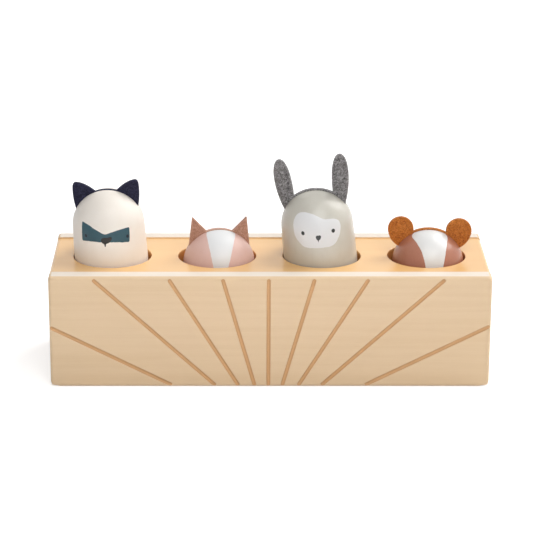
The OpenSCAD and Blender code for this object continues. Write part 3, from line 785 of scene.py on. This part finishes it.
# The bear's ear is most of a circle: the turns along its arc, its middle, and the point low on its
# outer side where the curve from the root meets it.
turn = np.radians(np.linspace(-14, 188, 60))
bear_centre = ear(50.7, 0.765 * BEAR_R)
side_turn = math.radians(20)
side_point = bear_centre + BEAR_R * np.array([math.cos(side_turn), -math.sin(side_turn)])
# Round each animal's right ear, from its root to the band between the ears.
EAR_LINES = [
    ear_edge(CAT_RISE, [(ROOTS[0], 0), (36.7, 0.26), (44.6, 0.61), (51.6, 0.9)],
             [(51.6, 0.9), (54, 1), (56, 1), (57.6, 0.92)],
             [(57.6, 0.92), (62.5, 0.75), (68.1, 0.4), (73.2, LOW_BAND / CAT_RISE)]),
    np.array([ear(ROOTS[1], 0), ear(60.6, FOX_RISE), ear(61.4, FOX_RISE), ear(70, LOW_BAND)]),
    ear_edge(RABBIT_RISE, [(ROOTS[2], 0), (39.4, 0.2), (47.3, 0.47), (55.3, 0.725)],
             [(55.3, 0.725), (59.7, 0.925), (63.8, 1.04), (66.7, 1)],
             [(66.7, 1), (70.5, 0.96), (70.4, 0.715), (68.6, 0.5)],
             [(68.6, 0.5), (66.6, 0.33), (64, 0.19), (59, HIGH_BAND / RABBIT_RISE)]),
    np.concatenate([
        curve(ear(ROOTS[3], 0), ear(29.9, 0.35 * BEAR_R), ear(31.6, 0.78 * BEAR_R), side_point),
        bear_centre + BEAR_R * np.stack([np.cos(turn), np.sin(turn)], axis=-1),
        [ear(66, HIGH_BAND)]])]
SPINES = [0.75, 0.75, 0.85, 0.55]  # how far the rows of an ear close in, as a share of its rise


def felt(i):
    """A cut sheet in its plane, and its outline. An ear's rows follow its edge and close in on a
    spine from the middle of its root towards its tip. The band between the ears reaches from its
    upper edge down to the kerf's floor, and joins both ears along their roots."""
    line = EAR_LINES[i]
    root, inner = line[0], line[-1]
    middle = (root + inner) / 2
    top = int(np.argmax(np.hypot(*(line - middle).T)))
    tip = line[top]
    line = np.concatenate([evenly(line[:top + 1], 90), evenly(line[top:], 90)[1:]])
    way = 1 - np.abs(np.linspace(-1, 1, len(line)))
    spine = middle + SPINES[i] * np.minimum(1, 1.2 * way)[:, None] * (tip - middle)
    steps = np.array([0, 0.012, 0.05, 0.12, 0.22, 0.36, 0.55, 0.85])
    length = np.maximum(np.hypot(*(spine - line).T), 2 * steps[-1])[:, None]
    share = np.concatenate([steps / length, steps[-1] / length + np.linspace(0, 1, 9)[1:] * (
        1 - steps[-1] / length)], axis=1)
    right = line[:, None] + share[..., None] * (spine - line)[:, None]
    base = np.concatenate([right[-1], right[0, ::-1][1:]])
    down = np.hypot(*(base - inner).T) / np.hypot(*(root - inner))
    turn = math.atan2(inner[1], inner[0])
    around = np.linspace(turn, math.pi - turn, 81)[:, None]
    upper = np.hypot(*inner) * np.concatenate([np.cos(around), np.sin(around)], axis=1)
    lower = np.stack([np.linspace(root[0], -root[0], 81), np.full(81, root[1])], axis=-1)
    band = upper[:, None] + down[None, :, None] * (lower - upper)[:, None]
    mirror = np.array([-1, 1])
    outline = np.concatenate([line, upper[1:-1], (line * mirror)[::-1], lower[::-1][1:-1]])
    return [right, band, right * mirror], outline


def felt_sides(i):
    """Both faces of a sheet and its cut edge: the thickness grows from nothing at the outline to
    its full value, as a squarish round."""
    flat_patches, outline = felt(i)
    patches = []
    for flat in flat_patches:
        deep = np.abs(depth_inside(flat[..., 0], flat[..., 1], outline))
        deep = np.where(deep < 1e-4, 0, np.minimum(deep, FELT_EDGE) / FELT_EDGE)
        half = FELT_HALF * (1 - (1 - deep) ** 3) ** (1 / 3)
        for side in (-1, 1):
            patches.append(np.stack([flat[..., 0], side * half, flat[..., 1]], axis=-1))
    return patches, outline


def make_felt_nap():
    """Wool felt: tangled fibres and coarser clumps of them, as masks and together as height. Both
    are noise at places that another noise has bent."""
    made, _, end = group("felt_nap", [], ["Height", "Clumps", "Fibres"])
    place = add(made, "ShaderNodeTexCoord").outputs["Object"]
    bent = add(made, "ShaderNodeTexNoise", {"Vector": place, "Scale": 900.0, "Detail": 2.0})
    moved = add(made, "ShaderNodeVectorMath", {0: place, 1: add(
        made, "ShaderNodeVectorMath", {0: bent.outputs["Color"], "Scale": 0.0016},
        operation="SCALE").outputs[0]}, operation="ADD").outputs[0]
    fibres = noise(made, moved, 3200.0, Detail=3.0, Roughness=0.7, Distortion=1.5)
    clumps = noise(made, moved, 620.0, Detail=4.0, Roughness=0.7, Distortion=1.8)
    hand_out(made, end, Height=math_node(made, "ADD", fibres, clumps), Clumps=clumps,
             Fibres=fibres)
    return made


nap = make_felt_nap()


def woolly(name, base, dark, light, rim_highlight, sheen):
    """Felt in three tones, with a painted highlight along the cut edge, where fibres stand out and
    catch the light."""
    made, tree, shader = material(name, 0.95, Sheen_Weight=sheen, Sheen_Roughness=0.5,
                                  Specular_IOR_Level=0.15)
    fuzz = add(tree, "ShaderNodeGroup", node_tree=nap)
    colour = blend(tree, ramp(tree, fuzz.outputs["Clumps"], 0.38, 0.52), dark, base)
    colour = blend(tree, ramp(tree, fuzz.outputs["Clumps"], 0.5, 0.62, 0.0, 0.7), colour, light)
    colour = blend(tree, ramp(tree, fuzz.outputs["Fibres"], 0.52, 0.72, 0.0, 0.35), colour, light)
    inside = add(tree, "ShaderNodeAttribute", attribute_name="inside").outputs["Fac"]
    # Painted highlight along the cut edge of the felt.
    edge = ramp(tree, inside, 0.9, 0.1, 0.0, rim_highlight)
    colour = blend(tree, edge, colour, light)
    finish(tree, shader, colour, fuzz.outputs["Height"], NAP_RELIEF)
    return made


felts = [
    woolly("cat_wool", srgb(38, 38, 62), srgb(28, 28, 50), srgb(62, 62, 88), 0.35, 0.15),
    woolly("fox_wool", srgb(201, 151, 128), srgb(176, 126, 104), srgb(220, 176, 154), 0.5, 0.3),
    woolly("rabbit_wool", srgb(130, 127, 128), srgb(74, 72, 74), srgb(194, 192, 193), 0.3, 0.3),
    woolly("bear_wool", srgb(202, 116, 40), srgb(168, 88, 26), srgb(226, 148, 76), 0.4, 0.3)]
for i, name in enumerate(ANIMALS):
    patches, outline = felt_sides(i)
    placing = at_head(i) @ Matrix.Rotation(FELT_TILTS[i], 4, "Y")
    piece = surface(name + "_ears", patches, {"inside": lambda p, o=outline: np.abs(
        depth_inside(p[:, 0], p[:, 2], o))}, placing, sharp=70.0)
    piece.data.materials.append(felts[i])
    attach(piece, name)
    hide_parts(name + "_felt_ears")


# End boards: solid maple, glued between the panels under the ends of the top board, with the
# grain from front to back. The bottom board is screwed to them.
def dress(names, made):
    """Gives CAD nodes their finish."""
    for name in names:
        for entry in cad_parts[name].material_slots:
            entry.material = made


dress(["left_end_board", "right_end_board"], wood(
    "end_maple", srgb(230, 203, 171), srgb(212, 178, 141), 0.5, turn=(0, 0, math.radians(90)),
    shift=(0.2, 0.5, 0.0))[0])


# Bottom board and foot plates: birch plywood, whose edges show its plies. The board is screwed on
# from below, and each plate is glued under its peg, turned with it in its hole.
PLY = 1.2


def plywood(name, turn=(0, 0, 0), shift=(0, 0, 0)):
    """Plies of one thickness, every other one turned across and a little darker, with dark glue
    lines between them."""
    made, tree, shader, colour, place = wood(name, srgb(222, 196, 160), srgb(200, 168, 128), 0.55,
                                             shift=(0.45, 0.1, 0.2))
    turned = add(tree, "ShaderNodeMapping", {"Vector": place, "Rotation": turn,
                 "Location": shift}).outputs[0]
    height = add(tree, "ShaderNodeSeparateXYZ", {"Vector": turned}).outputs["Z"]
    ply = math_node(tree, "SINE", math_node(tree, "MULTIPLY", height, 1000 * math.pi / PLY))
    colour = blend(tree, ramp(tree, ply, 0.1, 0.3, 0.0, 0.55), colour, srgb(176, 138, 98))
    seam = ramp(tree, math_node(tree, "ABSOLUTE", ply), 0.18, 0.05, 0.0, 0.6)
    colour = blend(tree, seam, colour, srgb(120, 88, 60))
    tree.links.new(colour, shader.inputs["Base Color"])
    return made


dress(["bottom_board"], plywood("bottom_ply", shift=(0, 0, 0.0006)))
for i, name in enumerate(ANIMALS):
    dress([name + "_foot_plate"], plywood(name + "_plate_ply", turn=(0, -float(LEANS[i]), 0)))

# Foot pins, rockers and bearing blocks: plain beech, cut and sanded. A pin is glued into its peg
# through the plate, and a rocker turns on its axle between two blocks.
dress([name + "_foot_pin" for name in ANIMALS], wood(
    "pin_beech", srgb(222, 186, 146), srgb(196, 154, 112), 0.5, turn=(0, math.radians(90), 0),
    contrast=1.2)[0])
dress(["left_rocker", "right_rocker"], wood(
    "rocker_beech", srgb(220, 184, 143), srgb(194, 152, 110), 0.5, contrast=1.2)[0])
dress([side + end + "_bearing" for side in ("left", "right") for end in ("_front", "_back")], wood(
    "bearing_beech", srgb(220, 184, 143), srgb(194, 152, 110), 0.5,
    turn=(0, math.radians(90), 0), contrast=1.2)[0])


# Axles and screws: drawn steel rod that lies in the blocks' bores, and zinc-plated countersunk
# screws that hold the bottom board and the blocks.
def steel(name, colours, roughness, waves, relief):
    """Bright metal with fine drawn or turned lines, so many waves in a metre along each axis, and
    a soft unevenness in its gloss."""
    made, tree, shader = material(name, roughness, Metallic=1.0)
    place = add(tree, "ShaderNodeTexCoord").outputs["Object"]
    drawn = noise(tree, stretch(tree, place, waves), Detail=2.0)
    cloud = noise(tree, place, 700.0)
    finish(tree, shader, blend(tree, ramp(tree, cloud, 0.35, 0.65), *colours), drawn, relief)
    tree.links.new(ramp(tree, cloud, 0.3, 0.7, roughness - 0.06, roughness + 0.08),
                   shader.inputs["Roughness"])
    return made


dress(["left_axle", "right_axle"], steel("drawn_steel", (srgb(200, 201, 204), srgb(182, 184, 188)),
                                         0.26, (5000, 60, 5000), 0.01))
dress(["base_screws", "bearing_screws"], steel("zinc_plate", (srgb(206, 208, 212),
                                               srgb(176, 180, 190)), 0.34, (900, 900, 3000), 0.02))
